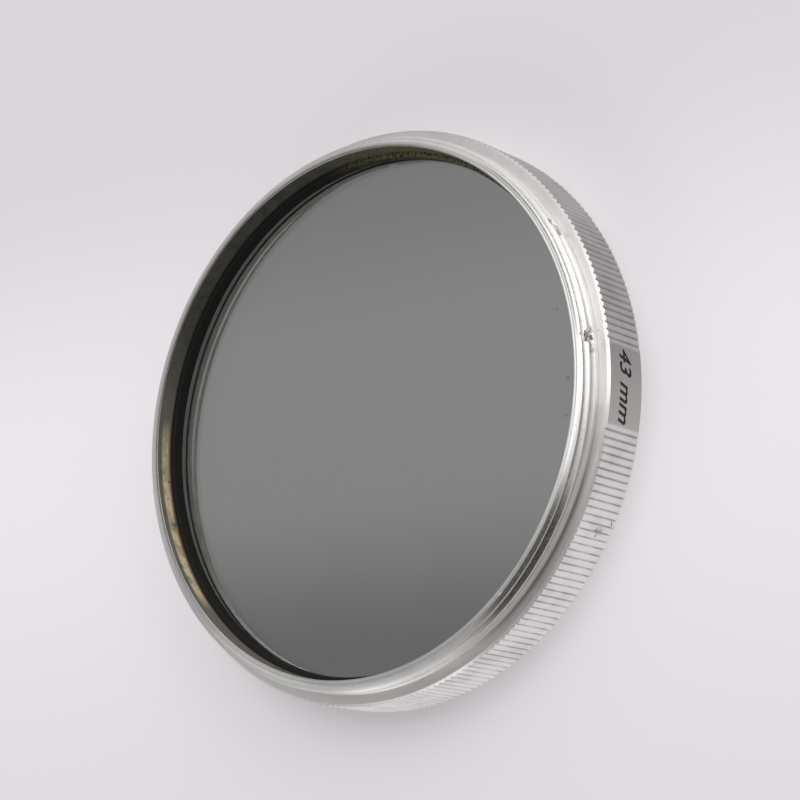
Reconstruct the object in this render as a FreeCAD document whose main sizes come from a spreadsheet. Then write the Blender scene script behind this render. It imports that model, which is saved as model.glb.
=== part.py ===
import FreeCAD, Part
import os
import Sketcher
from FreeCAD import Vector

# Round screw-in neutral density filter, lying on its front face with its rear thread up.
# Millimetres, +Z up along the filter's axis, origin in the middle of the front face.
# The plain field of the grip faces -Y.

# Driving dimensions: alias, value, what it is
SIZES = [
    ("thread_diameter", 43.0, "nominal diameter of the rear and the front thread"),
    ("thread_pitch", 0.75, "pitch of both threads"),
    ("rear_thread_length", 1.84, "from the shoulder to the rim"),
    ("rear_thread_lead", 0.28, "axial length of the bevel between the rim face and the rear thread"),
    ("rim_wall", 0.93, "from the crest of the rear thread to the rim bore"),
    ("rim_face_width", 0.37, "flat face of the rim"),
    ("shoulder_width", 0.88, "from the crest of the rear thread out to the grip"),
    ("shoulder_bevel", 0.2, "bevel between the shoulder and the grip"),
    ("lip_depth", 1.54, "from the rim face down to the lip"),
    ("lip_thickness", 0.93, "axial thickness of the lip that carries the glass"),
    ("lip_reach", 0.39, "how far the lip stands in from the rim bore"),
    ("glass_overlap", 0.45, "how far the edge of the glass lies under the lip"),
    ("glass_thickness", 1.4, "thickness of the grey glass"),
    ("glass_bevel", 0.12, "bevel on both edges of the glass"),
    ("seat_clearance", 0.08, "radial clearance round the glass and the retaining ring"),
    ("retainer_step", 0.14, "how far the retaining ring stands out past the glass"),
    ("retainer_width", 0.45, "radial width of the retaining ring"),
    ("retainer_thickness", 0.6, "axial thickness of the retaining ring"),
    ("retainer_relief", 0.1, "gap that lets the retaining ring press on the glass alone"),
    ("notch_width", 1.0, "width of a spanner notch in the retaining ring"),
    ("notch_depth", 0.3, "depth of a spanner notch in the retaining ring"),
    ("front_thread_depth", 1.55, "from the front face to the retaining ring"),
    ("front_thread_lead", 0.25, "bevel at the mouth of the front thread"),
    ("knurl_count", 250, "grooves that a full round of the grip would have"),
    ("field_gap", 12, "groove pitches taken up by the plain field"),
    ("knurl_depth", 0.12, "depth of a knurl groove"),
    ("knurl_width", 0.28, "width of a knurl groove at the surface of the grip"),
]

# Height of an internal metric thread in pitches, from its crest to its major diameter
INTERNAL_THREAD_HEIGHT = 0.54127

# How far a cutting outline runs past the surface that it cuts, small so that grooves stay apart
OVERCUT = 0.05

doc = FreeCAD.newDocument("neutral_density_filter")


def make_sheet():
    """Write the driving dimensions to a spreadsheet with an alias for each value."""
    sheet = doc.addObject("Spreadsheet::Sheet", "sizes")
    for row, (alias, value, meaning) in enumerate(SIZES, start=1):
        sheet.set(f"A{row}", alias)
        sheet.set(f"B{row}", str(value))
        sheet.set(f"C{row}", meaning)
        sheet.setAlias(f"B{row}", alias)
    doc.recompute()


make_sheet()

# Radii, as expressions on the sheet
THREAD = "sizes.thread_diameter / 2"
RIM_BORE = f"{THREAD} - sizes.rim_wall"
RIM_FACE = f"{RIM_BORE} + sizes.rim_face_width"
GRIP = f"{THREAD} + sizes.shoulder_width"
SHOULDER_EDGE = f"{GRIP} - sizes.shoulder_bevel"
LIP_BORE = f"{RIM_BORE} - sizes.lip_reach"
GLASS = f"{LIP_BORE} + sizes.glass_overlap"
GLASS_FACE = f"{GLASS} - sizes.glass_bevel"
GLASS_POCKET = f"{GLASS} + sizes.seat_clearance"
RETAINER = f"{GLASS} + sizes.retainer_step"
RETAINER_BORE = f"{RETAINER} - sizes.retainer_width"
RETAINER_POCKET = f"{RETAINER} + sizes.seat_clearance"
FRONT_THREAD = f"{THREAD} - {INTERNAL_THREAD_HEIGHT} * sizes.thread_pitch"
FRONT_MOUTH = f"{FRONT_THREAD} + sizes.front_thread_lead"

# Heights over the front face, as expressions on the sheet
RETAINER_FRONT = "sizes.front_thread_depth"
GLASS_FRONT = f"{RETAINER_FRONT} + sizes.retainer_thickness"
POCKET_STEP = f"{GLASS_FRONT} + sizes.retainer_relief"
GLASS_REAR = f"{GLASS_FRONT} + sizes.glass_thickness"
LIP_REAR = f"{GLASS_REAR} + sizes.lip_thickness"
RIM = f"{LIP_REAR} + sizes.lip_depth"
SHOULDER = f"{RIM} - sizes.rear_thread_length"

# The filter's axis and its front face, where both kinds of expression start
AXIS = "0"
FRONT = "0"

# One groove pitch of the knurl, in degrees
KNURL_PITCH = "360 / sizes.knurl_count"


def origin_plane(body, role):
    """Find one of the body's own origin planes or axes by its role."""
    return next(item for item in body.Origin.OriginFeatures if item.Role == role)


def new_sketch(body, name, role):
    """Add a sketch on one of the body's own origin planes."""
    sketch = body.newObject("Sketcher::SketchObject", name)
    sketch.AttachmentSupport = [(origin_plane(body, role), "")]
    sketch.MapMode = "FlatFace"
    return sketch


def draw_outline(sketch, corners):
    """Draw a closed outline whose every corner is held by two expressions, across and up."""
    across = [doc.sizes.evalExpression(corner[0]) for corner in corners]
    up = [doc.sizes.evalExpression(corner[1]) for corner in corners]
    count = len(corners)
    for index in range(count):
        after = (index + 1) % count
        start = Vector(across[index], up[index], 0)
        end = Vector(across[after], up[after], 0)
        sketch.addGeometry(Part.LineSegment(start, end), False)
    for index in range(count):
        sketch.addConstraint(Sketcher.Constraint("Coincident", index, 2, (index + 1) % count, 1))
    for index, corner in enumerate(corners):
        hold_corner(sketch, index, "DistanceX", across[index], corner[0])
        hold_corner(sketch, index, "DistanceY", up[index], corner[1])


def hold_corner(sketch, index, kind, value, expression):
    """Tie the start of one line to the origin by an expression, or to an axis where that is 0."""
    if expression == AXIS:
        axis = -2 if kind == "DistanceX" else -1
        sketch.addConstraint(Sketcher.Constraint("PointOnObject", index, 1, axis))
        return
    name = f"{kind}{index}"
    number = sketch.addConstraint(Sketcher.Constraint(kind, -1, 1, index, 1, value))
    sketch.renameConstraint(number, name)
    sketch.setExpression(f"Constraints.{name}", expression)


def turned_body(name, corners):
    """Make a body turned about Z from one half section."""
    body = doc.addObject("PartDesign::Body", name)
    body.Label = name
    section = new_sketch(body, f"{name}_section", "XZ_Plane")
    draw_outline(section, corners)
    turned = body.newObject("PartDesign::Revolution", f"{name}_turned")
    turned.Profile = section
    turned.ReferenceAxis = (section, ["V_Axis"])
    turned.Angle = 360
    doc.recompute()
    return body


def cut_upwards(body, name, corners, depth, turn="0"):
    """Cut an outline upwards from the front plane, after turning it about Z by an expression."""
    sketch = new_sketch(body, f"{name}_outline", "XY_Plane")
    sketch.setExpression(".AttachmentOffset.Rotation.Angle", turn)
    draw_outline(sketch, corners)
    pocket = body.newObject("PartDesign::Pocket", name)
    pocket.Profile = sketch
    pocket.Reversed = True
    pocket.setExpression("Length", depth)
    doc.recompute()
    return pocket


def repeat_round(body, feature, angle, count):
    """Repeat a cut about Z over an angle, with both given as expressions."""
    pattern = body.newObject("PartDesign::PolarPattern", f"{feature.Name}_round")
    pattern.Originals = [feature]
    pattern.Axis = (origin_plane(body, "Z_Axis"), [""])
    pattern.setExpression("Angle", angle)
    pattern.setExpression("Occurrences", count)
    body.Tip = pattern
    doc.recompute()
    return pattern


# The ring: rear thread, shoulder, grip, lip, two pockets and front thread in one turned piece
filter_ring = turned_body("filter_ring", [
    (FRONT_MOUTH, FRONT),
    (GRIP, FRONT),
    (GRIP, f"{SHOULDER} - sizes.shoulder_bevel"),
    (SHOULDER_EDGE, SHOULDER),
    (THREAD, SHOULDER),
    (THREAD, f"{RIM} - sizes.rear_thread_lead"),
    (RIM_FACE, RIM),
    (RIM_BORE, RIM),
    (RIM_BORE, LIP_REAR),
    (LIP_BORE, LIP_REAR),
    (LIP_BORE, GLASS_REAR),
    (GLASS_POCKET, GLASS_REAR),
    (GLASS_POCKET, POCKET_STEP),
    (RETAINER_POCKET, POCKET_STEP),
    (RETAINER_POCKET, RETAINER_FRONT),
    (FRONT_THREAD, RETAINER_FRONT),
    (FRONT_THREAD, "sizes.front_thread_lead"),
])

# The knurl: one straight V groove, repeated round the grip apart from the plain field
groove_mouth = f"sizes.knurl_width / 2 * (sizes.knurl_depth + {OVERCUT}) / sizes.knurl_depth"
groove = cut_upwards(filter_ring, "knurl_groove", [
    (f"{GRIP} - sizes.knurl_depth", "0"),
    (f"{GRIP} + {OVERCUT}", groove_mouth),
    (f"{GRIP} + {OVERCUT}", f"-{groove_mouth}"),
], f"{SHOULDER} + {OVERCUT}", turn=f"{KNURL_PITCH} * sizes.field_gap / 2 - 90")
knurl = repeat_round(
    filter_ring,
    groove,
    angle=f"{KNURL_PITCH} * (sizes.knurl_count - sizes.field_gap)",
    count="sizes.knurl_count - sizes.field_gap + 1",
)

# The glass: a disc with a small bevel on both edges, against the front of the lip
nd_glass = turned_body("nd_glass", [
    (AXIS, GLASS_FRONT),
    (GLASS_FACE, GLASS_FRONT),
    (GLASS, f"{GLASS_FRONT} + sizes.glass_bevel"),
    (GLASS, f"{GLASS_REAR} - sizes.glass_bevel"),
    (GLASS_FACE, GLASS_REAR),
    (AXIS, GLASS_REAR),
])

# The retaining ring: a plain threaded ring in front of the glass, with two spanner notches
retaining_ring = turned_body("retaining_ring", [
    (RETAINER_BORE, RETAINER_FRONT),
    (RETAINER, RETAINER_FRONT),
    (RETAINER, GLASS_FRONT),
    (RETAINER_BORE, GLASS_FRONT),
])
notch = cut_upwards(retaining_ring, "spanner_notch", [
    (f"{RETAINER_BORE} - {OVERCUT}", "-sizes.notch_width / 2"),
    (f"{RETAINER} + {OVERCUT}", "-sizes.notch_width / 2"),
    (f"{RETAINER} + {OVERCUT}", "sizes.notch_width / 2"),
    (f"{RETAINER_BORE} - {OVERCUT}", "sizes.notch_width / 2"),
], f"{RETAINER_FRONT} + sizes.notch_depth")
notches = repeat_round(retaining_ring, notch, angle="360", count="2")

SUB_PARTS = [filter_ring, nd_glass, retaining_ring]


def check_model():
    """Stop unless every feature was built and every sub-part is one valid solid."""
    for item in doc.Objects:
        if "Invalid" in item.State or "Error" in item.State:
            raise RuntimeError(f"{item.Label} failed: {item.State}")
    for body in SUB_PARTS:
        shape = body.Shape
        if shape.isNull() or not shape.isValid() or len(shape.Solids) != 1:
            raise RuntimeError(f"{body.Label} is not one valid solid")


def check_cuts():
    """Stop if a repeated cut has taken nothing away from its body."""
    for body, pattern in ((filter_ring, knurl), (retaining_ring, notches)):
        before = pattern.Originals[0].BaseFeature.Shape.Volume
        if not pattern.Shape.Volume < before:
            raise RuntimeError(f"{pattern.Label} cut nothing from {body.Label}")


doc.recompute()
check_model()
check_cuts()
os.makedirs("parts", exist_ok=True)
for body in SUB_PARTS:
    body.Shape.exportStep(f"parts/{body.Label}.step")
    box = body.Shape.BoundBox
    extents = f"{box.XLength:.3f} x {box.YLength:.3f} x {box.ZLength:.3f} mm"
    print(f"{body.Label}: {body.Shape.Volume:.2f} mm3, {extents}, from z {box.ZMin:.3f}")
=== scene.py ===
"""Looks of a round screw-in neutral density filter that lies on its front face, rear thread up.

Lengths are in metres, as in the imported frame, and values named in millimetres carry MM.
Azimuths are degrees round the filter's axis from +X, and the plain field of the grip faces -Y.
"""

import logging
import math
import random
from dataclasses import dataclass, field
from enum import IntEnum
from functools import cached_property
from typing import Callable, Sequence

import bmesh
import bpy
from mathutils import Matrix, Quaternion, Vector


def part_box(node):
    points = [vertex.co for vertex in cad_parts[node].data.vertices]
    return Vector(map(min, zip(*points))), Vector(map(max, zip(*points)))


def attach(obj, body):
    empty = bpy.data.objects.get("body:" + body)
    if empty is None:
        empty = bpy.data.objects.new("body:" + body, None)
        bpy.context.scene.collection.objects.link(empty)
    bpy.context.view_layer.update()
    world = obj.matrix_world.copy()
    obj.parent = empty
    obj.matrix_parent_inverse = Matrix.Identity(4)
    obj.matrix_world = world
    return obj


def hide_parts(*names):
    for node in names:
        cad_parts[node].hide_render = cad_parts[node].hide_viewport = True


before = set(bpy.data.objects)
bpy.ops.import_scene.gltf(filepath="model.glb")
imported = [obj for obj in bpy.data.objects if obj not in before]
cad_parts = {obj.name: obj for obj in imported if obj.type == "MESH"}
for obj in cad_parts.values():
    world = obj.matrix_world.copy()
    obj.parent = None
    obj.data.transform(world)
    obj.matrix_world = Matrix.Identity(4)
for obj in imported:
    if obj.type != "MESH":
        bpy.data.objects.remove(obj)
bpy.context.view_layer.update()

LOG = logging.getLogger("neutral_density_filter")
MM = 0.001
BODY = "root"
SMOOTH_ANGLE = math.radians(28)
MERGE_DISTANCE = 0.0002 * MM
FIELD_AZIMUTH = -90.0
ORIGIN = (0.0, 0.0, 0.0)

Socket = bpy.types.NodeSocket
Colour = tuple[float, float, float]
Pair = tuple[float, float]
Band = tuple[float, float, float, float]


@dataclass(frozen=True)
class Extent:
    """Radius and heights of one round node of the frame, in metres."""

    radius: float
    bottom: float
    top: float

    @classmethod
    def of_node(cls, node: str) -> "Extent":
        """Read the extent of a node from the frame."""
        low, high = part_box(node)
        return cls(radius=high[0], bottom=low[2], top=high[2])


@dataclass(frozen=True)
class Station:
    """One corner of a turned section: how far it is from the axis, and its height."""

    radius: float
    height: float


def along(azimuth: float, radius: float = 1.0, height: float = 0.0) -> Vector:
    """Place a point by its azimuth in degrees, its radius and its height."""
    angle = math.radians(azimuth)
    return Vector((radius * math.cos(angle), radius * math.sin(angle), height))


# Modelling steps that every piece shares


def start_piece(name: str) -> bpy.types.Object:
    """Name the object that was just added and open it for editing, all selected."""
    made = bpy.context.object
    made.name = name
    made.data.name = name
    bpy.ops.object.mode_set(mode="EDIT")
    bpy.ops.mesh.select_mode(type="VERT")
    bpy.ops.mesh.select_all(action="SELECT")
    return made


def select_vertices(piece: bpy.types.Object, test: Callable[[Vector], bool]) -> None:
    """Select the vertices of the piece being edited whose place passes the test.

    Args:
        piece: the mesh object in edit mode.
        test: says whether a place is wanted.
    """
    bpy.ops.mesh.select_all(action="DESELECT")
    mesh = bmesh.from_edit_mesh(piece.data)
    for vertex in mesh.verts:
        if test(vertex.co):
            vertex.select_set(True)
    mesh.select_flush_mode()
    bmesh.update_edit_mesh(piece.data)


def finish_edit() -> None:
    """Merge doubles, turn every face outwards and leave edit mode."""
    bpy.ops.mesh.select_all(action="SELECT")
    bpy.ops.mesh.remove_doubles(threshold=MERGE_DISTANCE)
    bpy.ops.mesh.normals_make_consistent(inside=False)
    bpy.ops.object.mode_set(mode="OBJECT")


def turn_section(name: str, stations: Sequence[Station], around: int) -> bpy.types.Object:
    """Turn a closed section about Z by walking a circle from station to station.

    Args:
        name: name of the new piece.
        stations: corners of the section, in order.
        around: how many vertices each circle has.

    Returns:
        The turned piece, in edit mode, with its first and last circles in one place.
    """
    bpy.ops.object.select_all(action="DESELECT")
    first = stations[0]
    bpy.ops.mesh.primitive_circle_add(
        vertices=around, radius=first.radius, fill_type="NOTHING", location=ORIGIN
    )
    made = start_piece(name)
    bpy.ops.transform.translate(value=(0, 0, first.height))
    here = first
    for there in [*stations[1:], first]:
        rise = (0, 0, there.height - here.height)
        bpy.ops.mesh.extrude_region_move(TRANSFORM_OT_translate={"value": rise})
        share = there.radius / here.radius
        bpy.ops.transform.resize(value=(share, share, 1), center_override=ORIGIN)
        here = there
    return made


def pick(piece: bpy.types.Object) -> None:
    """Select one object alone and make it active."""
    bpy.ops.object.select_all(action="DESELECT")
    piece.select_set(True)
    bpy.context.view_layer.objects.active = piece


def apply_modifier(piece: bpy.types.Object, kind: str, **settings: object) -> None:
    """Add a modifier to a piece and apply it at once."""
    pick(piece)
    modifier = piece.modifiers.new(kind.lower(), kind)
    for setting, value in settings.items():
        setattr(modifier, setting, value)
    bpy.ops.object.modifier_apply(modifier=modifier.name)


def carve(piece: bpy.types.Object, tool: bpy.types.Object, operation: str = "DIFFERENCE") -> None:
    """Cut a tool's shape out of a piece, or weld it on, and throw the tool away."""
    apply_modifier(piece, "BOOLEAN", object=tool, operation=operation, solver="MANIFOLD")
    bpy.data.objects.remove(tool)


def paint_all(piece: bpy.types.Object, index: int) -> None:
    """Give every face of a piece one material index."""
    piece.data.polygons.foreach_set("material_index", [index] * len(piece.data.polygons))


def dress(piece: bpy.types.Object, finishes: Sequence[bpy.types.Material]) -> None:
    """Fill a piece's material slots in order, also the empty one that a boolean leaves."""
    slots = piece.data.materials
    for index, finish in enumerate(finishes):
        if index < len(slots):
            slots[index] = finish
        else:
            slots.append(finish)


def smooth(piece: bpy.types.Object) -> None:
    """Shade a piece smooth, with its real corners kept sharp."""
    pick(piece)
    bpy.ops.object.shade_smooth_by_angle(angle=SMOOTH_ANGLE)


def hand_over(piece: bpy.types.Object, node: str) -> None:
    """Let a finished piece stand for its node of the frame, and log it."""
    smooth(piece)
    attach(piece, BODY)
    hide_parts(node)
    LOG.info("%s: %d faces", piece.name, len(piece.data.polygons))


# Wiring of finishes


@dataclass(frozen=True)
class Stain:
    """A small dirty place, by azimuth, radius and height in millimetres."""

    azimuth: float
    radius: float
    height: float
    reach: float
    strength: float


class Wiring:
    """Short calls for the nodes of one material, with places in millimetres."""

    def __init__(self, owner: bpy.types.Material | bpy.types.World) -> None:
        """Empty the owner's node tree and keep it."""
        owner.use_nodes = True
        self.tree = owner.node_tree
        self.tree.nodes.clear()

    def node(self, kind: str, settings: dict | None = None, **inputs: object) -> bpy.types.Node:
        """Add a node.

        Args:
            kind: the node's type, without the beginning that all types share.
            settings: its own properties.
            inputs: sockets by name, with underscores for spaces, each a socket or a value.

        Returns:
            The new node.
        """
        made = self.tree.nodes.new(f"ShaderNode{kind}")
        for name, value in (settings or {}).items():
            setattr(made, name, value)
        for name, value in inputs.items():
            self.plug(made.inputs[name.replace("_", " ")], value)
        return made

    def plug(self, target: Socket, value: object) -> None:
        """Link a socket to a target, or set the target's own value."""
        if isinstance(value, bpy.types.NodeSocket):
            self.tree.links.new(value, target)
        elif target.type == "RGBA" and len(value) == 3:
            target.default_value = (*value, 1.0)
        else:
            target.default_value = value

    def fill(self, made: bpy.types.Node, *values: object) -> bpy.types.Node:
        """Plug values into a node's sockets in order, and give the node back."""
        for target, value in zip(made.inputs, values):
            self.plug(target, value)
        return made

    def math(self, operation: str, *values: object, clamp: bool = False) -> Socket:
        """Work out one number."""
        made = self.node("Math", {"operation": operation, "use_clamp": clamp})
        return self.fill(made, *values).outputs[0]

    def product(self, *values: object) -> Socket:
        """Multiply any number of values."""
        result = values[0]
        for value in values[1:]:
            result = self.math("MULTIPLY", result, value)
        return result

    def span(self, value: object, low: float, high: float, start: float = 0.0, end: float = 1.0) -> Socket:
        """Carry a value smoothly from start to end as it goes from low to high."""
        made = self.node("MapRange", {"interpolation_type": "SMOOTHSTEP"})
        return self.fill(made, value, low, high, start, end).outputs["Result"]

    def slope(self, value: object, first: Pair, second: Pair) -> Socket:
        """Carry a value from one level to another, each given after the place where it is reached."""
        return self.span(value, first[0], second[0], first[1], second[1])

    def fade(self, value: object, base: float, edges: Pair) -> Socket:
        """Carry a value from 0 at the first edge to 1 at the second, both counted from a base."""
        return self.span(value, base + edges[0], base + edges[1])

    def band(self, value: object, base: float, edges: Band) -> Socket:
        """Give 1 in a band of a value: edges are where it starts, is full, starts to fade and ends."""
        start, full, fading, end = edges
        return self.product(self.fade(value, base, (start, full)), self.fade(value, base, (end, fading)))

    def blend(self, share: object, first: object, second: object) -> Socket:
        """Mix two colours."""
        made = self.node("Mix", {"data_type": "RGBA"})
        self.plug(made.inputs["Factor"], share)
        self.plug(made.inputs[6], first)
        self.plug(made.inputs[7], second)
        return made.outputs[2]

    def split(self, place: Socket) -> tuple[Socket, Socket, Socket]:
        """Split a place into its three numbers."""
        parts = self.node("SeparateXYZ", Vector=place)
        return parts.outputs[0], parts.outputs[1], parts.outputs[2]

    @cached_property
    def place(self) -> Socket:
        """Give the place on the piece, in millimetres."""
        scaled = self.node("VectorMath", {"operation": "SCALE"}, Scale=1 / MM)
        return self.fill(scaled, self.node("TexCoord").outputs["Object"]).outputs[0]

    @cached_property
    def parts(self) -> tuple[Socket, Socket, Socket]:
        """Give the three numbers of the place."""
        return self.split(self.place)

    @property
    def height(self) -> Socket:
        """Give the height, in millimetres."""
        return self.parts[2]

    @cached_property
    def radius(self) -> Socket:
        """Give the distance from the axis, in millimetres."""
        across, deep, _ = self.parts
        square = self.math("ADD", self.product(across, across), self.product(deep, deep))
        return self.math("SQRT", square)

    def clouds(self, size: float, detail: float = 3.0, rough: float = 0.5) -> Socket:
        """Give soft random spots of about a size in millimetres, from 0 to 1."""
        made = self.node("TexNoise", Vector=self.place, Scale=1 / size, Detail=detail, Roughness=rough)
        return made.outputs[0]

    def lines(self, value: Socket, pitch: float, detail: float = 2.0) -> Socket:
        """Give random lines across a number in millimetres, of about a pitch."""
        made = self.node("TexNoise", {"noise_dimensions": "1D"}, W=value, Scale=1 / pitch, Detail=detail)
        return made.outputs[0]

    def facing(self, side: Pair, soft: float) -> Socket:
        """Give 1 on one side of the filter and 0 away from it.

        Args:
            side: azimuth of the middle of the stretch and half of its width, in degrees.
            soft: half of the fade at each end, in degrees.

        Returns:
            The share, from 0 to 1.
        """
        azimuth, half_width = side
        across, deep, _ = self.parts
        way = along(azimuth)
        dot = self.math("ADD", self.product(across, way.x), self.product(deep, way.y))
        cosine = self.math("DIVIDE", dot, self.radius)
        outer = math.cos(math.radians(half_width + soft))
        inner = math.cos(math.radians(max(half_width - soft, 0.0)))
        return self.span(cosine, outer, inner)

    def near(self, stain: Stain, soft: float) -> Socket:
        """Give 1 at a stain, falling to 0 at its reach over a soft edge."""
        made = self.node("VectorMath", {"operation": "DISTANCE"})
        self.fill(made, self.place, along(stain.azimuth, stain.radius, stain.height))
        return self.span(made.outputs["Value"], stain.reach, max(stain.reach - soft, 0.0))

    def bump(self, height: Socket, depth: float, below: Socket | None = None) -> Socket:
        """Raise the surface by a height times a depth in millimetres."""
        made = self.node("Bump", Height=height, Distance=depth * MM)
        if below is not None:
            self.plug(made.inputs["Normal"], below)
        return made.outputs[0]

    def surface(self, colour: object, rough: object, **inputs: object) -> bpy.types.Node:
        """Add the shader of a surface."""
        return self.node("BsdfPrincipled", Base_Color=colour, Roughness=rough, **inputs)

    def cover(self, share: object, under: bpy.types.Node, over: bpy.types.Node) -> bpy.types.Node:
        """Lay one shader over another by a share."""
        return self.fill(self.node("MixShader"), share, under.outputs[0], over.outputs[0])

    def finish(self, shader: bpy.types.Node, output: str = "OutputMaterial") -> None:
        """Send a shader to the output."""
        self.plug(self.node(output).inputs["Surface"], shader.outputs[0])


@dataclass(frozen=True)
class Finish:
    """A named look. Its lengths are in millimetres, and edges count from the size that they follow."""

    name: str

    def material(self) -> bpy.types.Material:
        """Make the material and wire it."""
        material = bpy.data.materials.new(self.name)
        wiring = Wiring(material)
        wiring.finish(self.shader(wiring))
        return material

    def shader(self, w: Wiring) -> bpy.types.Node:
        """Wire the look and give its last node."""
        raise NotImplementedError


@dataclass(frozen=True)
class TurnedMetal(Finish):
    """Bare aluminium with the fine circular marks of turning, handling marks, old grime, and painted shade in
    the thread roots and at the foot of the thread.
    """

    name: str = "turned_metal"
    colour: Colour = (0.82, 0.81, 0.795)
    worn: Colour = (0.74, 0.73, 0.71)
    grime_and_shade: Colour = (0.13, 0.12, 0.095)
    overspray: Colour = (0.24, 0.235, 0.21)
    scored_and_shaded: Colour = (0.33, 0.325, 0.31)
    roughness: Pair = (0.25, 0.36)
    front_roughness: float = 0.15
    anisotropy: float = 0.83
    across_marks: float = 0.25
    rise_per_line: float = 1.31
    line_pitch: float = 0.16
    line_depth: float = 0.0016
    chatter_pitch: float = 0.10
    chatter_depth: float = 0.002
    chatter_arc: float = 20.87
    score_pitch: float = 0.13
    bore_radius: float = 20.57
    spray_edges: Pair = (0.30, 0.12)
    lead_band: Band = (0.38, 0.42, 0.69, 0.74)
    edge_band: Band = (0.37, 0.40, 0.50, 0.56)
    root_radius: float = 21.18
    root_edges: Pair = (0.18, -0.18)
    foot_edges: Pair = (0.72, 0.40)
    shoulder: float = 4.18
    foot_top: Pair = (0.30, 0.10)
    groove_foot: Pair = (0.02, 0.12)
    rim: float = 6.02
    rim_face: Pair = (-0.03, -0.01)
    groove_top: Pair = (-0.08, -0.22)
    lead_foot: Pair = (-0.24, -0.20)
    flank_band: Band = (-0.80, -0.73, -0.44, -0.38)
    front_top: float = 2.1
    oversprayed_side: Pair = (55.0, 75.0)
    grimy_shaded_side: Pair = (-158.0, 42.0)
    gritty_side: Pair = (-127.0, 13.0)
    gritty_edge: Pair = (-58.0, 22.0)
    scored_side: Pair = (-65.0, 28.0)
    shaded_foot_side: Pair = (-125.0, 14.0)
    stains: tuple[Stain, ...] = (
        Stain(-83.1, 22.10, 4.18, 0.42, 0.16),
        Stain(-79.8, 21.68, 4.18, 0.09, 0.75),
        Stain(-74.0, 20.62, 6.02, 0.12, 0.6),
        Stain(-70.5, 20.60, 6.02, 0.10, 0.5),
        Stain(-85.8, 20.60, 6.02, 0.08, 0.5),
        Stain(-136.0, 20.95, 5.98, 0.16, 0.35),
    )

    def shader(self, w: Wiring) -> bpy.types.Node:
        """Wire the metal and give its last node."""
        walk = w.math("ADD", w.radius, w.product(w.height, self.rise_per_line))
        lines = w.lines(walk, self.line_pitch)
        fine = w.lines(walk, self.line_pitch / 4)
        patches = w.clouds(5.0, 4.0, 0.6)
        grit = w.clouds(0.3, 4.0, 0.7)
        dirt = self.dirt(w, grit)
        colour = w.blend(w.span(patches, 0.4, 0.68), self.colour, self.worn)
        colour = w.blend(self.sprayed(w, grit), colour, self.overspray)
        colour = w.blend(self.scores(w), colour, self.scored_and_shaded)
        # Painted shade at the foot of the thread on one side, in the scored colour.
        colour = w.blend(self.shaded_foot(w), colour, self.scored_and_shaded)
        # Grime and grit, with painted shade in the thread roots.
        colour = w.blend(dirt, colour, self.grime_and_shade)
        off_step = w.span(w.height, self.shoulder + 0.02, self.shoulder + 0.1, 0.12, 1.0)
        lines = w.math("MULTIPLY_ADD", w.math("SUBTRACT", lines, 0.5), off_step, 0.5)
        front = w.slope(w.height, (self.front_top + 0.3, 0.0), (self.front_top, self.front_roughness))
        rough = w.math("ADD", w.span(lines, 0.3, 0.7, *self.roughness), w.product(dirt, 0.3))
        normal = w.bump(w.math("ADD", lines, w.product(fine, off_step, 0.4)), self.line_depth)
        return w.surface(
            colour,
            w.math("ADD", rough, front),
            Metallic=1.0,
            Normal=w.bump(self.chatter(w), self.chatter_depth, normal),
            Anisotropic=self.anisotropy,
            Anisotropic_Rotation=self.across_marks,
            Tangent=w.node("Tangent", {"direction_type": "RADIAL", "axis": "Z"}).outputs[0],
        )

    def chatter(self, w: Wiring) -> Socket:
        """Raise the short marks that handling left across the top of the rim and thread."""
        across, deep, _ = w.parts
        arc = w.product(w.math("ARCTAN2", deep, across), self.chatter_arc)
        marks = w.lines(w.math("ADD", arc, w.clouds(0.8)), self.chatter_pitch)
        return w.product(marks, w.span(w.height, self.shoulder + 0.5, self.rim - 0.3))

    def sprayed(self, w: Wiring, grit: Socket) -> Socket:
        """Let the black paint of the bore fade out over the far inner edge of the rim."""
        inner = w.fade(w.radius, self.bore_radius, self.spray_edges)
        side = w.facing(self.oversprayed_side, 25.0)
        return w.product(inner, side, w.span(grit, 0.2, 0.6, 0.7, 1.0))

    def scores(self, w: Wiring) -> Socket:
        """Draw the fine dull circles that turning left on the rim face."""
        circles = w.span(w.lines(w.radius, self.score_pitch, 1.0), 0.44, 0.54)
        side = w.span(w.facing(self.scored_side, 16.0), 0.0, 1.0, 0.3, 0.85)
        return w.product(circles, w.fade(w.height, self.rim, self.rim_face), side)

    def shaded_foot(self, w: Wiring) -> Socket:
        """Paint shade on the inner part of the shoulder, at the foot of the thread, on one side."""
        inner = w.fade(w.radius, self.root_radius, self.foot_edges)
        low = w.fade(w.height, self.shoulder, self.foot_top)
        return w.product(inner, low, w.facing(self.shaded_foot_side, 10.0), 0.5)

    def gritty_bands(self, w: Wiring) -> Socket:
        """Give the fine black grit of the lead and the first groove, on the sides that were handled."""
        on_lead = w.fade(w.height, self.rim, self.lead_foot)
        lead = w.product(w.band(w.radius, self.bore_radius, self.lead_band), on_lead)
        both = w.math("MAXIMUM", lead, w.band(w.height, self.rim, self.flank_band))
        bands = w.product(w.facing(self.gritty_side, 7.0), both)
        edge = w.band(w.radius, self.bore_radius, self.edge_band)
        edge = w.product(edge, on_lead, w.facing(self.gritty_edge, 8.0), 0.75)
        fine = w.span(w.clouds(0.07, 3.0, 0.7), 0.36, 0.58, 0.6, 1.0)
        return w.product(w.math("MAXIMUM", bands, edge), fine)

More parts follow.
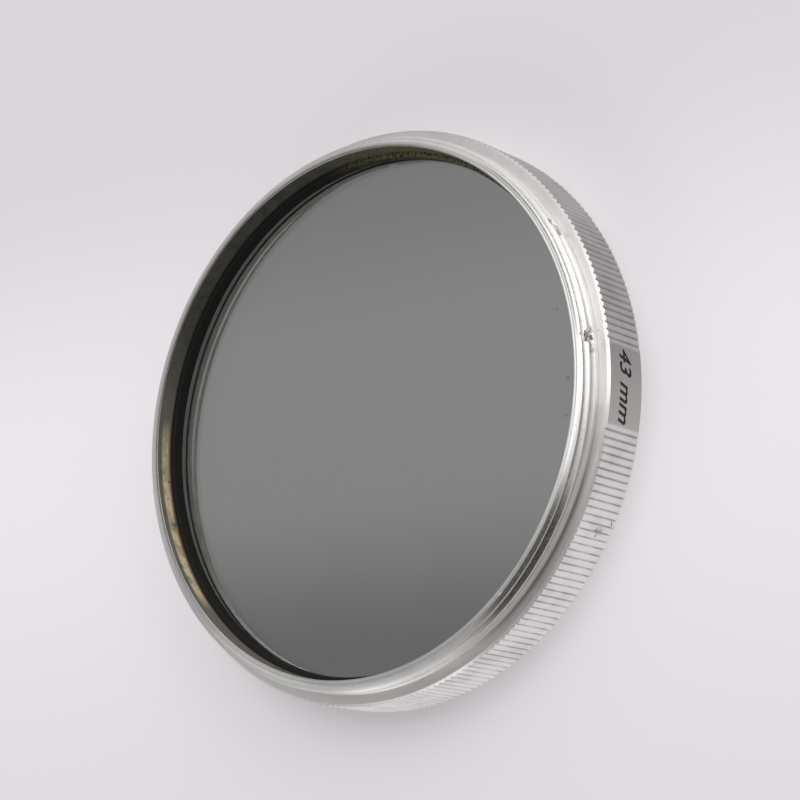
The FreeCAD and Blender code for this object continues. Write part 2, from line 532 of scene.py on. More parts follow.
    def dirt(self, w: Wiring, grit: Socket) -> Socket:
        """Gather the grime and painted shade that lie in the thread roots, the grit, and the grime of the
        stains.
        """
        above = w.fade(w.height, self.shoulder, self.groove_foot)
        below = w.fade(w.height, self.rim, self.groove_top)
        root = w.fade(w.radius, self.root_radius, self.root_edges)
        # Painted shade: the root darkening is made thicker on one side, where the thread roots lie in shade,
        # on top of their grime.
        thick_on_shaded_side = w.span(w.facing(self.grimy_shaded_side, 22.0), 0.0, 1.0, 0.7, 1.0)
        dirt = w.product(above, below, root, thick_on_shaded_side, w.span(grit, 0.3, 0.6, 0.45, 1.0))
        dirt = w.math("MAXIMUM", dirt, self.gritty_bands(w))
        speckle = w.span(grit, 0.35, 0.6, 0.4, 1.0)
        for stain in self.stains:
            spot = w.product(w.near(stain, stain.reach * 0.8), speckle, stain.strength)
            dirt = w.math("MAXIMUM", dirt, spot)
        return w.math("MINIMUM", dirt, 1.0)


@dataclass(frozen=True)
class KnurlMetal(Finish):
    """The grip: satin aluminium with grime and painted shade in its grooves, painted shade on its groove
    flanks on one side, and a plain field for the mark, painted darker as shade.
    """

    name: str = "knurl_metal"
    colour: Colour = (0.84, 0.83, 0.815)
    dull: Colour = (0.72, 0.71, 0.69)
    grime_and_shade: Colour = (0.27, 0.255, 0.225)
    shade: Colour = (0.51, 0.49, 0.465)
    roughness: Pair = (0.28, 0.42)
    line_pitch: float = 0.11
    line_depth: float = 0.0012
    grain_depth: float = 0.0015
    grip_radius: float = 22.38
    flank_edges: Pair = (-0.008, -0.045)
    groove_edges: Pair = (-0.04, -0.11)
    shaded_side: Pair = (-84.0, 22.0)
    field_side: Pair = (FIELD_AZIMUTH, 7.6)
    dented: Stain = Stain(-117.2, 22.38, 1.62, 0.62, 0.9)

    def shader(self, w: Wiring) -> bpy.types.Node:
        """Wire the grip and give its last node."""
        patches = w.clouds(2.2, 4.0, 0.6)
        grit = w.clouds(0.16, 3.0, 0.7)
        colour = w.blend(w.span(patches, 0.42, 0.7), self.colour, self.dull)
        # Painted shade on the groove flanks of one side of the grip.
        flank = w.span(w.fade(w.radius, self.grip_radius, self.flank_edges), 0.0, 1.0, 0.22, 0.6)
        colour = w.blend(w.product(w.facing(self.shaded_side, 14.0), flank), colour, self.shade)
        # Painted shade: the plain field is darkened towards the shade colour.
        colour = w.blend(w.product(w.facing(self.field_side, 0.4), 0.95), colour, self.shade)
        # Grime and painted shade in the groove bottoms, with the dirt of the dent.
        groove = w.fade(w.radius, self.grip_radius, self.groove_edges)
        dent = w.product(w.near(self.dented, 0.35), w.span(grit, 0.45, 0.6), self.dented.strength)
        dirt = w.math("MAXIMUM", w.product(groove, w.span(patches, 0.3, 0.6, 0.25, 0.7)), dent)
        colour = w.blend(dirt, colour, self.grime_and_shade)
        rough = w.math("ADD", w.span(grit, 0.3, 0.7, *self.roughness), w.product(dirt, 0.25))
        normal = w.bump(w.lines(w.height, self.line_pitch), self.line_depth)
        return w.surface(colour, rough, Metallic=1.0, Normal=w.bump(grit, self.grain_depth, normal))


@dataclass(frozen=True)
class BorePaint(Finish):
    """Matt black paint behind the glass, worn on one side and stained brown and olive."""

    name: str = "black_bore_paint"
    black: Colour = (0.018, 0.0175, 0.016)
    thin: Colour = (0.105, 0.10, 0.085)
    worn: Colour = (0.19, 0.183, 0.15)
    bare: Colour = (0.80, 0.65, 0.43)
    tarnish: Colour = (0.50, 0.45, 0.26)
    brown: Colour = (0.24, 0.14, 0.07)
    olive: Colour = (0.19, 0.175, 0.10)
    roughness: float = 0.7
    sheen: float = 0.12
    grain_depth: float = 0.004
    lip_rear: float = 4.48
    wall_foot: Pair = (-0.01, 0.2)
    bare_band: Band = (0.0, 0.15, 0.92, 1.12)
    brown_edges: Pair = (0.42, 0.12)
    worn_side: Pair = (120.0, 41.0)
    bare_side: Pair = (110.5, 20.5)
    olive_side: Pair = (-28.0, 32.0)

    def shader(self, w: Wiring) -> bpy.types.Node:
        """Wire the paint and give its last node."""
        blotches = w.clouds(0.9, 4.0, 0.65)
        wall = w.fade(w.height, self.lip_rear, self.wall_foot)
        colour = w.blend(w.product(wall, w.span(blotches, 0.3, 0.6, 0.6, 1.0)), self.black, self.thin)
        worn = w.product(w.facing(self.worn_side, 16.0), wall, w.span(blotches, 0.25, 0.55, 0.6, 1.0))
        colour = w.blend(worn, colour, self.worn)
        wall_and_lip = w.span(w.height, self.lip_rear - 0.5, self.lip_rear + 0.3, 0.4, 1.0)
        grain = w.span(w.clouds(0.25, 3.0, 0.6), 0.35, 0.55)
        olive = w.product(w.facing(self.olive_side, 12.0), wall_and_lip, grain)
        colour = w.blend(olive, colour, self.olive)
        metal = w.blend(w.span(w.clouds(1.4, 3.0, 0.6), 0.42, 0.6), self.bare, self.tarnish)
        foot = w.fade(w.height, self.lip_rear, self.brown_edges)
        metal = w.blend(w.product(foot, w.span(blotches, 0.25, 0.5, 0.5, 1.0)), metal, self.brown)
        height = w.band(w.height, self.lip_rear, self.bare_band)
        bare = w.product(w.facing(self.bare_side, 5.0), height, w.span(blotches, 0.3, 0.45))
        return w.surface(
            w.blend(bare, colour, metal),
            self.roughness,
            Normal=w.bump(w.clouds(0.12, 2.0, 0.6), self.grain_depth),
            Specular_IOR_Level=self.sheen,
        )


@dataclass(frozen=True)
class Ink(Finish):
    """Black filling of the engraved size mark."""

    name: str = "mark_ink"
    colour: Colour = (0.012, 0.011, 0.011)
    worn: Colour = (0.09, 0.085, 0.08)

    def shader(self, w: Wiring) -> bpy.types.Node:
        """Wire the ink and give its last node."""
        grain = w.clouds(0.08, 2.0, 0.6)
        colour = w.blend(w.span(grain, 0.62, 0.75), self.colour, self.worn)
        return w.surface(colour, w.span(grain, 0.3, 0.7, 0.45, 0.6))


@dataclass(frozen=True)
class BruisedMetal(Finish):
    """Crushed metal inside a nick, with old dirt pressed into it."""

    name: str = "bruised_metal"
    metal: Colour = (0.84, 0.82, 0.77)
    dirt: Colour = (0.13, 0.115, 0.06)
    depth: float = 0.10

    def shader(self, w: Wiring) -> bpy.types.Node:
        """Wire the nick and give its last node."""
        grit = w.clouds(0.14, 4.0, 0.7)
        share = w.span(grit, 0.42, 0.58)
        return w.surface(
            w.blend(share, self.metal, self.dirt),
            w.span(share, 0.0, 1.0, 0.3, 0.7),
            Metallic=w.math("SUBTRACT", 1.0, share),
            Normal=w.bump(grit, self.depth),
        )


@dataclass(frozen=True)
class GreyGlass(Finish):
    """Neutral grey glass, with the faint film and dust of an old filter on it."""

    name: str = "grey_glass"
    tint: Colour = (0.266, 0.280, 0.268)
    refraction: float = 1.52
    film_roughness: float = 0.02
    dust: Colour = (0.55, 0.55, 0.53)
    spot_colour: Colour = (0.03, 0.03, 0.03)
    dark_spots: tuple[Stain, ...] = (
        Stain(-87.5, 18.36, 3.54, 0.28, 0.35),
        Stain(-70.5, 18.24, 3.54, 0.20, 0.25),
        Stain(-96.0, 18.36, 3.54, 0.22, 0.35),
    )

    def shader(self, w: Wiring) -> bpy.types.Node:
        """Wire the glass and give its last node."""
        film = w.clouds(9.0, 4.0, 0.6)
        specks = w.span(w.clouds(0.22, 1.0, 0.4), 0.80, 0.86)
        rough = w.span(film, 0.35, 0.75, 0.0, self.film_roughness)
        glass = w.surface(self.tint, rough, IOR=self.refraction, Transmission_Weight=1.0)
        dusty = w.product(specks, w.span(film, 0.45, 0.6), 0.6)
        # Dark spots on the glass, on the side towards -Y.
        spotting = 0.0
        for spot in self.dark_spots:
            spotting = w.math("ADD", spotting, w.product(w.near(spot, spot.reach), spot.strength))
        return w.cover(spotting, w.cover(dusty, glass, w.surface(self.dust, 0.9)), w.surface(self.spot_colour, 0.9))


@dataclass(frozen=True)
class GroundEdge(Finish):
    """The ground rim of the glass, dull and frosted."""

    name: str = "ground_glass_edge"
    colour: Colour = (0.76, 0.78, 0.77)
    bright: Colour = (0.86, 0.88, 0.87)
    depth: float = 0.01

    def shader(self, w: Wiring) -> bpy.types.Node:
        """Wire the edge and give its last node."""
        grain = w.clouds(0.1, 3.0, 0.6)
        return w.surface(w.blend(grain, self.colour, self.bright), 0.75, Normal=w.bump(grain, self.depth))


class RingFace(IntEnum):
    """Which finish a face of the ring takes."""

    TURNED = 0
    KNURLED = 1
    BLACK = 2
    INK = 3
    BRUISED = 4


@dataclass
class ThreadTool:
    """A helical cutter for one thread, swept from a trapezoid."""

    crest_radius: float
    root_radius: float
    pitch: float
    start_height: float
    start_azimuth: float
    turns: float
    crest_width: float = 0.656 * MM
    root_width: float = 0.125 * MM
    overshoot: float = 0.03 * MM
    steps: int = 200
    corners: int = 4
    fade_steps: int = 44
    fades_at_end: bool = False

    @property
    def outward(self) -> int:
        """Give 1 for a thread on the outside of a wall, and -1 for one on the inside."""
        return 1 if self.crest_radius > self.root_radius else -1

    def build(self) -> bpy.types.Object:
        """Sweep the cutter.

        Returns:
            A closed helical bar.
        """
        bpy.ops.object.select_all(action="DESELECT")
        bpy.ops.mesh.primitive_plane_add(size=1, location=ORIGIN, rotation=(math.pi / 2, 0, 0))
        bpy.ops.object.transform_apply(location=False, rotation=True, scale=False)
        tool = start_piece("thread_tool")
        bpy.ops.mesh.delete(type="ONLY_FACE")
        bpy.ops.mesh.select_all(action="SELECT")
        mouth = self.crest_radius + self.outward * self.overshoot
        depth = abs(mouth - self.root_radius)
        middle = (mouth + self.root_radius) / 2
        bpy.ops.transform.resize(value=(depth, 1, self.root_width), center_override=ORIGIN)
        bpy.ops.transform.translate(value=(middle, 0, 0))
        select_vertices(tool, lambda place: (place.x - middle) * self.outward > 0)
        flare = self.crest_width / self.root_width
        bpy.ops.transform.resize(value=(1, 1, flare), center_override=ORIGIN)
        bpy.ops.object.mode_set(mode="OBJECT")
        steps = round(self.turns * self.steps)
        apply_modifier(
            tool,
            "SCREW",
            axis="Z",
            angle=2 * math.pi * self.turns,
            screw_offset=self.pitch * self.turns,
            steps=steps,
            render_steps=steps,
            use_merge_vertices=False,
        )
        self.run_out(tool, steps)
        self.close_ends(tool)
        return tool

    def run_out(self, tool: bpy.types.Object, steps: int) -> None:
        """Let the groove grow shallow towards its inner end, as a cutting tool leaves it.

        Args:
            tool: the swept bar, its corners in order along the sweep.
            steps: how many steps the sweep took.
        """
        shallow = self.crest_radius + self.outward * self.overshoot / 2
        for index, vertex in enumerate(tool.data.vertices):
            step = index // self.corners
            step = steps - step if self.fades_at_end else step
            radius = math.hypot(vertex.co.x, vertex.co.y)
            if step < self.fade_steps and abs(radius - self.root_radius) < self.overshoot / 2:
                share = 1 + (shallow / radius - 1) * (1 - step / self.fade_steps)
                vertex.co.x *= share
                vertex.co.y *= share

    def close_ends(self, tool: bpy.types.Object) -> None:
        """Cap both ends of the swept bar, then turn and lift it to its start."""
        bpy.ops.object.mode_set(mode="EDIT")
        bpy.ops.mesh.select_mode(type="EDGE")
        bpy.ops.mesh.select_all(action="DESELECT")
        bpy.ops.mesh.select_non_manifold(
            extend=False,
            use_wire=False,
            use_boundary=True,
            use_multi_face=False,
            use_non_contiguous=False,
            use_verts=False,
        )
        bpy.ops.mesh.edge_face_add()
        bpy.ops.mesh.select_mode(type="VERT")
        bpy.ops.mesh.select_all(action="SELECT")
        bpy.ops.mesh.normals_make_consistent(inside=False)
        bpy.ops.transform.translate(value=(0, 0, self.start_height))
        bpy.ops.object.mode_set(mode="OBJECT")
        tool.rotation_euler.z = math.radians(self.start_azimuth)
        bpy.ops.object.transform_apply(location=False, rotation=True, scale=False)
        paint_all(tool, RingFace.TURNED)


@dataclass
class Lump:
    """A jagged lump in millimetres that is cut from the metal, or left standing on it as a burr."""

    azimuth: float
    radius: float
    height: float
    half_size: tuple[float, float, float]
    seed: int
    tilt: float = 0.0
    cuts: bool = True
    finish: RingFace = RingFace.BRUISED
    jag: float = 0.22
    subdivisions: int = 3

    def build(self) -> bpy.types.Object:
        """Shape the lump and set it in its place.

        Returns:
            A closed lump, with its half sizes across, along and up the wall.
        """
        bpy.ops.object.select_all(action="DESELECT")
        bpy.ops.mesh.primitive_ico_sphere_add(subdivisions=self.subdivisions, radius=1, location=ORIGIN)
        lump = start_piece("lump")
        bpy.ops.object.mode_set(mode="OBJECT")
        dice = random.Random(self.seed)
        turn = Quaternion((0, 0, 1), math.radians(self.azimuth))
        lean = Quaternion((1, 0, 0), math.radians(self.tilt))
        centre = along(self.azimuth, self.radius, self.height)
        for vertex in lump.data.vertices:
            swell = 1 + self.jag * dice.uniform(-1, 1)
            shaped = Vector(part * size * swell for part, size in zip(vertex.co, self.half_size))
            vertex.co = (centre + turn @ (lean @ shaped)) * MM
        paint_all(lump, self.finish)
        return lump


def crush(*place: object, seed: int, tilt: float = 0.0, jag: float = 0.34) -> Lump:
    """Describe a coarse bite out of the thread."""
    return Lump(*place, seed=seed, tilt=tilt, jag=jag, subdivisions=2)


def burr(*place: object, seed: int, tilt: float = 0.0, jag: float = 0.4) -> Lump:
    """Describe a bright burr that a nick left standing."""
    return Lump(*place, seed=seed, tilt=tilt, jag=jag, cuts=False, finish=RingFace.TURNED)


BRUISES: tuple[Lump, ...] = (
    crush(-81.2, 21.40, 5.76, (0.26, 0.20, 0.22), seed=2, tilt=-12, jag=0.32),
    crush(-81.5, 21.58, 5.40, (0.38, 0.50, 0.24), seed=3, tilt=8),
    crush(-81.9, 21.64, 5.04, (0.42, 0.86, 0.17), seed=4, tilt=-5),
    crush(-83.2, 21.62, 4.84, (0.26, 0.42, 0.14), seed=21, tilt=12, jag=0.36),
    burr(-80.3, 21.50, 5.34, (0.10, 0.17, 0.09), seed=5, tilt=-20),
    burr(-82.4, 21.46, 5.20, (0.12, 0.20, 0.07), seed=22, tilt=24),
    burr(-83.5, 21.48, 4.96, (0.10, 0.22, 0.07), seed=6),
    burr(-79.6, 21.50, 4.92, (0.10, 0.18, 0.08), seed=9),
    Lump(-81.4, 21.42, 4.86, (0.12, 0.14, 0.07), seed=23, tilt=30, cuts=False, jag=0.4),
    crush(-55.4, 21.64, 5.36, (0.26, 0.48, 0.20), seed=8, tilt=-10),
    crush(-56.3, 21.62, 5.08, (0.22, 0.36, 0.12), seed=24, tilt=14, jag=0.36),
    burr(-57.2, 21.56, 4.94, (0.12, 0.30, 0.10), seed=11, jag=0.22),
    burr(-55.0, 21.52, 5.20, (0.10, 0.16, 0.07), seed=12),
    Lump(-27.5, 22.28, 4.23, (0.14, 0.46, 0.08), seed=14, finish=RingFace.TURNED),
    Lump(-135.4, 20.92, 6.05, (0.12, 0.32, 0.09), seed=15, finish=RingFace.TURNED),
    Lump(-117.2, 22.42, 1.62, (0.13, 0.18, 0.58), seed=16),
    Lump(-115.2, 22.42, 0.42, (0.10, 0.55, 0.06), seed=17, tilt=24),
)


@dataclass
class SizeMark:
    """The plain size number engraved in the field, where the ring carries its lettering."""

    text: str = "43 mm"
    letter_height: float = 1.36 * MM
    slant: float = 0.28
    weight: float = 0.018
    depth: float = 0.05 * MM
    overshoot: float = 0.04 * MM
    middle_height: float = 2.09 * MM
    cap_share: float = 0.69
    curve_steps: int = 5

    def build(self, radius: float) -> bpy.types.Object:
        """Make the cutter for the engraved mark, wrapped round the grip.

        Args:
            radius: radius of the plain field.

        Returns:
            A closed cutter with the ink's material index.
        """
        bpy.ops.object.select_all(action="DESELECT")
        bpy.ops.object.text_add(location=ORIGIN)
        words = bpy.context.object
        words.data.body = self.text
        words.data.align_x = "CENTER"
        words.data.align_y = "BOTTOM_BASELINE"
        words.data.size = 1
        words.data.shear = self.slant
        words.data.offset = self.weight
        words.data.extrude = 0.5
        words.data.resolution_u = self.curve_steps
        bpy.ops.object.convert(target="MESH")
        mark = start_piece("size_mark")
        finish_edit()
        scale = self.letter_height / self.cap_share
        low, high = radius - self.depth, radius + self.overshoot
        lift = self.middle_height + self.letter_height / 2
        middle = sum((Vector(corner) for corner in mark.bound_box), Vector()) / 8
        for vertex in mark.data.vertices:
            across = (vertex.co.x - middle.x) * scale
            azimuth = FIELD_AZIMUTH - math.degrees(across / radius)
            reach = low + (high - low) * (0.5 + vertex.co.z)
            vertex.co = along(azimuth, reach, lift - vertex.co.y * scale)
        bpy.ops.object.mode_set(mode="EDIT")
        bpy.ops.mesh.select_all(action="SELECT")
        bpy.ops.mesh.normals_make_consistent(inside=False)
        bpy.ops.object.mode_set(mode="OBJECT")
        paint_all(mark, RingFace.INK)
        return mark


@dataclass
class FilterRing:
    """The turned ring: rear thread, shoulder, knurled grip, lip, pockets and front thread."""

    extent: Extent
    glass: Extent
    retainer: Extent
    thread_radius: float = 21.5 * MM
    thread_pitch: float = 0.75 * MM
    rear_thread_length: float = 1.84 * MM
    rear_root_radius: float = 21.04 * MM
    thread_lead: float = 0.28 * MM
    foot_radius: float = 21.44 * MM
    foot_height: float = 0.08 * MM
    rim_wall: float = 0.93 * MM
    rim_face_width: float = 0.37 * MM
    shoulder_bevel: float = 0.20 * MM
    front_break: float = 0.08 * MM
    edge_break: float = 0.04 * MM
    lip_depth: float = 1.54 * MM
    lip_reach: float = 0.39 * MM
    seat_clearance: float = 0.08 * MM
    retainer_relief: float = 0.10 * MM
    front_thread_radius: float = 21.094 * MM
    front_thread_lead: float = 0.25 * MM
    grooves_around: int = 250
    field_grooves: int = 12
    steps_per_groove: int = 8
    groove_depth: float = 0.11 * MM
    groove_shares: tuple[float, ...] = (1.0, 0.55, 0.14)
    paint_reach: float = 0.28 * MM
    steep: float = 0.3
    thread_relief: float = 0.36 * MM
    thread_run: float = 0.45 * MM
    rear_azimuth: float = 97.0
    front_azimuth: float = 40.0
    finishes: list[bpy.types.Material] = field(default_factory=list)

    @property
    def rim(self) -> float:
        """Height of the rim face."""
        return self.extent.top

    @property
    def shoulder(self) -> float:
        """Height of the shoulder that the rear thread stands on."""
        return self.rim - self.rear_thread_length

    @property
    def grip_radius(self) -> float:
        """Radius of the plain field and of the lands between the grooves."""
        return self.extent.radius

    @property
    def bore_radius(self) -> float:
        """Radius of the bore behind the glass."""
        return self.thread_radius - self.rim_wall

    def section(self) -> list[Station]:
        """Give the corners of the ring's section, from the front edge of the grip round to its face."""
        grip = self.grip_radius
        bore = self.bore_radius
        lip_rear = self.rim - self.lip_depth
        lip = bore - self.lip_reach
        pocket = self.glass.radius + self.seat_clearance
        step = self.retainer.top + self.retainer_relief
        outer_pocket = self.retainer.radius + self.seat_clearance
        small = self.edge_break
        corners = [
            (grip - self.front_break, 0.0),
            (grip, self.front_break),
            (grip, self.shoulder - self.shoulder_bevel),
            (grip - self.shoulder_bevel, self.shoulder),
            (self.foot_radius, self.shoulder),
            (self.thread_radius, self.shoulder + self.foot_height),
            (self.thread_radius, self.rim - self.thread_lead),
            (bore + self.rim_face_width, self.rim),
            (bore + small, self.rim),
            (bore, self.rim - small),
            (bore, lip_rear),
            (lip + small, lip_rear),
            (lip, lip_rear - small),
            (lip, self.glass.top),
            (pocket, self.glass.top),
            (pocket, step),
            (outer_pocket, step),
            (outer_pocket, self.retainer.bottom),
            (self.front_thread_radius, self.retainer.bottom),
            (self.front_thread_radius, self.front_thread_lead),
            (self.front_thread_radius + self.front_thread_lead, 0.0),
        ]
        return [Station(radius, height) for radius, height in corners]

    def build(self) -> bpy.types.Object:
        """Model the ring.

        Returns:
            The finished ring, dressed and riding on its body.
        """
        around = self.grooves_around * self.steps_per_groove
        ring = turn_section("filter_ring_turned", self.section(), around)
        bpy.ops.mesh.select_all(action="SELECT")
        bpy.ops.mesh.remove_doubles(threshold=MERGE_DISTANCE)
        self.knurl(ring)
        finish_edit()
        self.paint(ring)
        carve(ring, self.rear_thread().build())
        carve(ring, self.front_thread().build())
        carve(ring, SizeMark().build(self.grip_radius))
        self.bruise(ring)
        dress(ring, self.finishes)
        hand_over(ring, "filter_ring")
        return ring

    def knurl(self, ring: bpy.types.Object) -> None:
        """Press the grooves into the grip, one depth at a time, and run them out on the bevels."""
        wall = self.grip_radius - self.front_break - self.edge_break
        bottom = self.grip_radius - self.groove_depth - self.edge_break / 2
        low = self.front_break / 2
        top = self.shoulder - self.edge_break
        for step, share in enumerate(self.groove_shares):
            depth = self.groove_depth * share
            floor = self.grip_radius - depth
            self.select_groove(ring, step, wall, low, top)
            self.draw_in(floor / self.grip_radius)
            self.select_groove(ring, step, bottom, top - self.shoulder_bevel, top)
            bpy.ops.transform.translate(value=(0, 0, depth))
            if depth > self.front_break:
                self.select_groove(ring, step, wall, -low, low)
                self.draw_in(floor / (self.grip_radius - self.front_break))

    def draw_in(self, share: float) -> None:
        """Draw what is selected towards the axis."""
        bpy.ops.transform.resize(value=(share, share, 1), center_override=ORIGIN)

    def select_groove(self, ring: bpy.types.Object, step: int, inner: float, low: float, high: float) -> None:
        """Select one mesh step of every groove.

        Args:
            ring: the ring in edit mode.
            step: how many mesh steps from the middle of a groove.
            inner: radius that the places lie outside.
            low: height that they lie above.
            high: height that they lie below.
        """

        def wanted(place: Vector) -> bool:
            """Say whether a place is in the range and at the step."""
            inside = math.hypot(place.x, place.y) > inner and low < place.z < high
            return inside and self.groove_step(place) == step

        select_vertices(ring, wanted)

    def groove_step(self, place: Vector) -> int:
        """Count the mesh steps from a place to the nearest groove, or give -1 on the plain field."""
        step = 360 / (self.grooves_around * self.steps_per_groove)
        azimuth = math.degrees(math.atan2(place.y, place.x)) - FIELD_AZIMUTH
        steps = round(((azimuth + 180) % 360 - 180) / step)
        nearest = round(steps / self.steps_per_groove)
        if abs(nearest) < self.field_grooves // 2:
            return -1
        return abs(steps - nearest * self.steps_per_groove)

    def paint(self, ring: bpy.types.Object) -> None:
        """Give each face of the blank the finish of its place."""
        grip = self.grip_radius - self.groove_depth - self.shoulder_bevel / 2
        black = self.bore_radius + self.paint_reach
        for face in ring.data.polygons:
            radius = math.hypot(face.center.x, face.center.y)
            finish = RingFace.TURNED
            if radius > grip and abs(face.normal.z) < self.steep:
                finish = RingFace.KNURLED
            elif radius < black and self.glass.bottom < face.center.z < self.rim - self.edge_break:
                finish = RingFace.BLACK
            face.material_index = finish

    def rear_thread(self) -> ThreadTool:
        """Give the cutter of the rear thread, right-handed, from its relief out past the rim."""
        start = self.shoulder + self.thread_relief
        return ThreadTool(
            crest_radius=self.thread_radius,
            root_radius=self.rear_root_radius,
            pitch=self.thread_pitch,
            start_height=start,
            start_azimuth=self.rear_azimuth,
            turns=(self.rim + self.thread_run - start) / self.thread_pitch,
        )

    def front_thread(self) -> ThreadTool:
        """Give the cutter of the front thread, right-handed, from below the face to the retaining ring."""
        start = -self.thread_run
        return ThreadTool(
            crest_radius=self.front_thread_radius,
            root_radius=self.thread_radius,
            pitch=self.thread_pitch,
            start_height=start,
            start_azimuth=self.front_azimuth,
            turns=(self.retainer.bottom - self.thread_relief - start) / self.thread_pitch,
            fades_at_end=True,
        )

    def bruise(self, ring: bpy.types.Object) -> None:
        """Strike the nicks into the thread, the edges and the grip, and leave their burrs."""
        for bruise in BRUISES:
            carve(ring, bruise.build(), "DIFFERENCE" if bruise.cuts else "UNION")


@dataclass
class GlassDisc:
    """The grey glass, with a ground edge and small bevels."""

    extent: Extent
    bevel: float = 0.12 * MM
    face_gap: float = 0.01 * MM
    around: int = 360
    faces: GreyGlass = GreyGlass()
    edge: GroundEdge = GroundEdge()

    def build(self) -> bpy.types.Object:
        """Model the glass.

        Returns:
            The finished disc, dressed and riding on its body.
        """
        bpy.ops.object.select_all(action="DESELECT")
        thickness = self.extent.top - self.extent.bottom - 2 * self.face_gap
        bpy.ops.mesh.primitive_cylinder_add(
            vertices=self.around, radius=self.extent.radius, depth=thickness, location=ORIGIN
        )
        disc = start_piece("glass_disc")
        bpy.ops.transform.translate(value=(0, 0, (self.extent.top + self.extent.bottom) / 2))
        bpy.ops.mesh.select_mode(type="FACE")
        bpy.ops.mesh.select_all(action="DESELECT")
        mesh = bmesh.from_edit_mesh(disc.data)
        for face in mesh.faces:
            face.select_set(abs(face.normal.z) > 0.9)
        bmesh.update_edit_mesh(disc.data)
        bpy.ops.mesh.region_to_loop()
        bpy.ops.mesh.bevel(offset=self.bevel, segments=1, affect="EDGES")
        finish_edit()
        dress(disc, [self.faces.material(), self.edge.material()])
        for face in disc.data.polygons:
            face.material_index = int(abs(face.normal.z) < 0.9)
        hand_over(disc, "nd_glass")
        return disc


@dataclass
class RetainingRing:
    """The ring that holds the glass in, with two spanner notches in its front."""

    extent: Extent
    width: float = 0.45 * MM
    edge_break: float = 0.05 * MM
    notch_width: float = 1.0 * MM
    notch_depth: float = 0.3 * MM
    around: int = 360
    metal: TurnedMetal = TurnedMetal(name="retainer_metal")

    def build(self) -> bpy.types.Object:
        """Model the retaining ring.

        Returns:
            The finished ring, dressed and riding on its body.
        """
        outer, low, high = self.extent.radius, self.extent.bottom, self.extent.top
        inner = outer - self.width
        small = self.edge_break
        corners = [
            (inner, low + small),
            (inner + small, low),
            (outer - small, low),
            (outer, low + small),
            (outer, high - small),
            (outer - small, high),
            (inner + small, high),
            (inner, high - small),
        ]
        section = [Station(*corner) for corner in corners]
        ring = turn_section("retaining_ring_turned", section, self.around)
        finish_edit()
        for side in (0.0, 180.0):
            carve(ring, self.notch_tool(side))
        dress(ring, [self.metal.material()])
        hand_over(ring, "retaining_ring")
        return ring

    def notch_tool(self, azimuth: float) -> bpy.types.Object:
        """Make the cutter of one spanner notch."""
        bpy.ops.object.select_all(action="DESELECT")
        bpy.ops.mesh.primitive_cube_add(size=1, location=ORIGIN)
        tool = start_piece("notch_tool")
        reach = 2 * self.width
        height = 2 * self.notch_depth
        bpy.ops.transform.resize(value=(reach, self.notch_width, height), center_override=ORIGIN)
        centre = along(azimuth, self.extent.radius - self.width / 2, self.extent.bottom)
        bpy.ops.transform.translate(value=centre)
        finish_edit()
        paint_all(tool, 0)
        return tool


@dataclass(frozen=True)
class PaleFloor(Finish):
    """A pale floor that metal and glass see as pale too, also where they shade it.

    A glow is the place where it is reached, in millimetres along X, and its strength.
    """

    name: str = "pale_floor"
    colour: Colour = (0.80, 0.764, 0.797)
    dark: Colour = (0.0, 0.0, 0.0)
    low_glow: Pair = (-34.0, 0.105)
    middle_glow: Pair = (-2.0, 0.215)
    near_glow: Pair = (2.0, 0.215)
    far_glow: Pair = (28.0, 0.055)
    bright_side: Pair = (-8.0, 1.0)
    dim_side: Pair = (9.0, 0.56)
    low_end: Pair = (-18.5, 0.52)
    low_full: Pair = (-4.625, 1.0)
    high_full: Pair = (20.0 / 3, 1.0)
    high_end: Pair = (20.0, 0.80)
    glow_radius: float = 21.0
    glow_on_metal: float = 2.1

    def shader(self, w: Wiring) -> bpy.types.Node:
        """Wire the floor and give its last node."""
        rays = w.node("LightPath").outputs
        across = w.parts[0]
        inside = w.math("LESS_THAN", w.radius, self.glow_radius)
        behind_glass = w.math("MAXIMUM", rays["Is Transmission Ray"], inside)
        reflected = w.math("SUBTRACT", rays["Is Glossy Ray"], rays["Is Transmission Ray"], clamp=True)
        # Painted shade: the floor's own glow is dimmer towards both ends along X.
        rising = w.slope(across, self.low_glow, self.middle_glow)
        own = w.math("MINIMUM", rising, w.slope(across, self.near_glow, self.far_glow))
        # Painted reflection: metal sees the floor brighter towards -X and dimmer towards +X.
        mirrored = w.slope(across, self.bright_side, self.dim_side)
        glow = w.math("ADD", own, w.product(reflected, w.math("SUBTRACT", mirrored, own)))
        low = w.slope(across, self.low_end, self.low_full)
        high = w.slope(across, self.high_full, self.high_end)
        glow = w.math("MAXIMUM", glow, w.product(behind_glass, low, high))
        # Painted light: inside the ring the floor glows more strongly for the metal that reflects it.
        glow = w.math("MAXIMUM", glow, w.product(inside, reflected, self.glow_on_metal))
        hidden = w.math("MAXIMUM", rays["Is Glossy Ray"], behind_glass)
        plain = w.node("BsdfDiffuse", Color=w.blend(hidden, self.colour, self.dark))
        bright = w.node("Emission", Color=self.colour, Strength=glow)
        return w.fill(w.node("AddShader"), plain.outputs[0], bright.outputs[0])


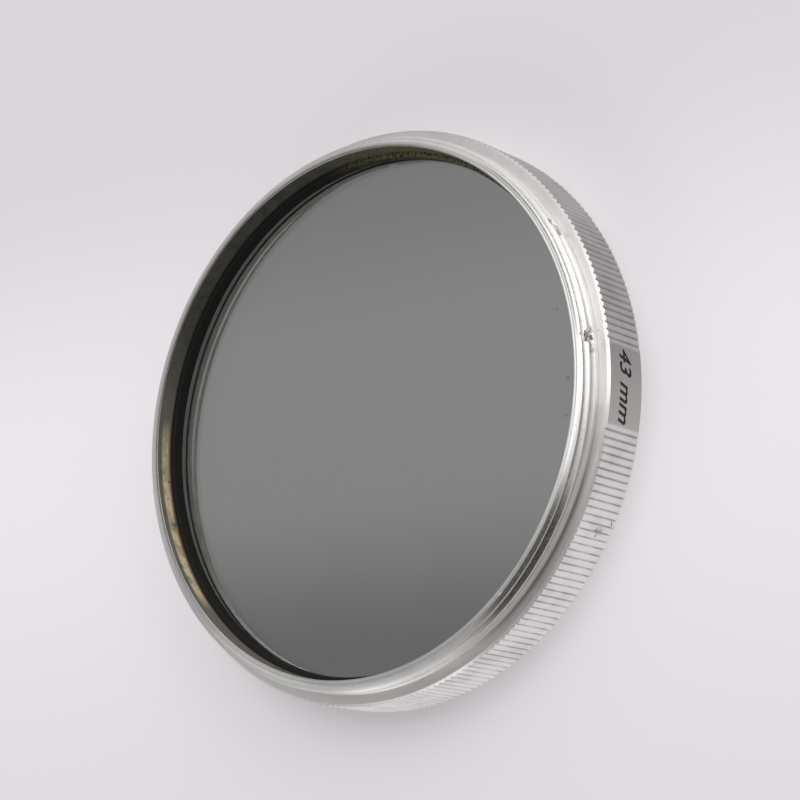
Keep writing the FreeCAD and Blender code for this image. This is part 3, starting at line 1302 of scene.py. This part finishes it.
@dataclass
class Studio:
    """A plain pale floor, soft boxes and a pale world, which is stronger on one side."""

    floor_size: float = 4.0
    floor: PaleFloor = PaleFloor()
    world_colour: Colour = (0.93, 0.92, 0.925)
    dark_side: Pair = (-0.30, 0.43)
    light_side: Pair = (0.38, 1.0)
    front: Pair = (0.0, 1.0)
    behind: Pair = (0.80, 0.61)

    def build(self) -> None:
        """Lay the floor, light it and set the world."""
        bpy.ops.object.select_all(action="DESELECT")
        bpy.ops.mesh.primitive_plane_add(size=self.floor_size, location=ORIGIN)
        floor = bpy.context.object
        floor.name = "floor"
        floor.data.materials.append(self.floor.material())
        self.world()
        self.soft_box("key", (0.26, 0.00, 0.64), (0.50, 0.50), 1.08)
        self.soft_box("side", (0.33, -0.47, 0.39), (0.60, 0.24), 0.95)
        self.soft_box("left", (-0.57, 0.24, 0.33), (0.50, 0.30), 1.15)
        self.soft_box("back", (-0.27, 0.54, 0.36), (0.40, 0.22), 0.55)
        bpy.context.scene.view_settings.view_transform = "Standard"

    def world(self) -> None:
        """Make the world pale where the camera sees it and softer as a light."""
        world = bpy.data.worlds.new("pale_world")
        bpy.context.scene.world = world
        w = Wiring(world)
        across, depth, _ = w.split(w.node("TexCoord").outputs["Generated"])
        strength = w.slope(across, self.dark_side, self.light_side)
        strength = w.product(strength, w.slope(depth, self.front, self.behind))
        strength = w.math("MAXIMUM", strength, w.node("LightPath").outputs["Is Camera Ray"])
        w.finish(w.node("Background", Color=self.world_colour, Strength=strength), "OutputWorld")

    def soft_box(self, name: str, place: tuple[float, float, float], size: Pair, light: float) -> None:
        """Hang a soft box that points at the filter.

        Args:
            name: name of the lamp.
            place: its middle.
            size: its length across and along its tilt.
            light: how bright its face looks, where 1 is white.
        """
        lamp = bpy.data.lights.new(name, "AREA")
        lamp.shape = "RECTANGLE"
        lamp.size, lamp.size_y = size
        lamp.energy = light * math.pi * size[0] * size[1]
        box = bpy.data.objects.new(name, lamp)
        box.location = place
        box.rotation_mode = "QUATERNION"
        box.rotation_quaternion = Vector(place).to_track_quat("Z", "Y")
        bpy.context.collection.objects.link(box)


@dataclass
class PhotoCamera:
    """The camera, where the photograph was taken from, in the filter's own frame."""

    aim: tuple[float, float, float] = (0.172 * MM, -4.788 * MM, 6.02 * MM)
    azimuth: float = -108.80
    elevation: float = 48.80
    roll: float = -73.40
    distance: float = 179.169 * MM
    lens: float = 108.0
    sensor: float = 36.0
    clip_end: float = 20.0

    def build(self) -> None:
        """Set up the camera and make it the scene's."""
        back = along(self.azimuth, math.cos(math.radians(self.elevation)))
        back.z = math.sin(math.radians(self.elevation))
        data = bpy.data.cameras.new("camera")
        data.lens = self.lens
        data.sensor_width = self.sensor
        data.clip_start = self.distance / 20
        data.clip_end = self.clip_end
        camera = bpy.data.objects.new("camera", data)
        camera.location = Vector(self.aim) + back * self.distance
        camera.rotation_mode = "QUATERNION"
        upright = back.to_track_quat("Z", "Y")
        camera.rotation_quaternion = upright @ Quaternion((0, 0, 1), math.radians(self.roll))
        bpy.context.collection.objects.link(camera)
        bpy.context.scene.camera = camera


def main() -> None:
    """Build the filter, the studio and the camera in order."""
    logging.basicConfig(level=logging.INFO, format="%(name)s %(message)s")
    ring = Extent.of_node("filter_ring")
    glass = Extent.of_node("nd_glass")
    retainer = Extent.of_node("retaining_ring")
    finishes = [
        TurnedMetal().material(),
        KnurlMetal().material(),
        BorePaint().material(),
        Ink().material(),
        BruisedMetal().material(),
    ]
    FilterRing(ring, glass, retainer, finishes=finishes).build()
    GlassDisc(glass).build()
    RetainingRing(retainer).build()
    Studio().build()
    PhotoCamera().build()


if __name__ == "__main__":
    main()
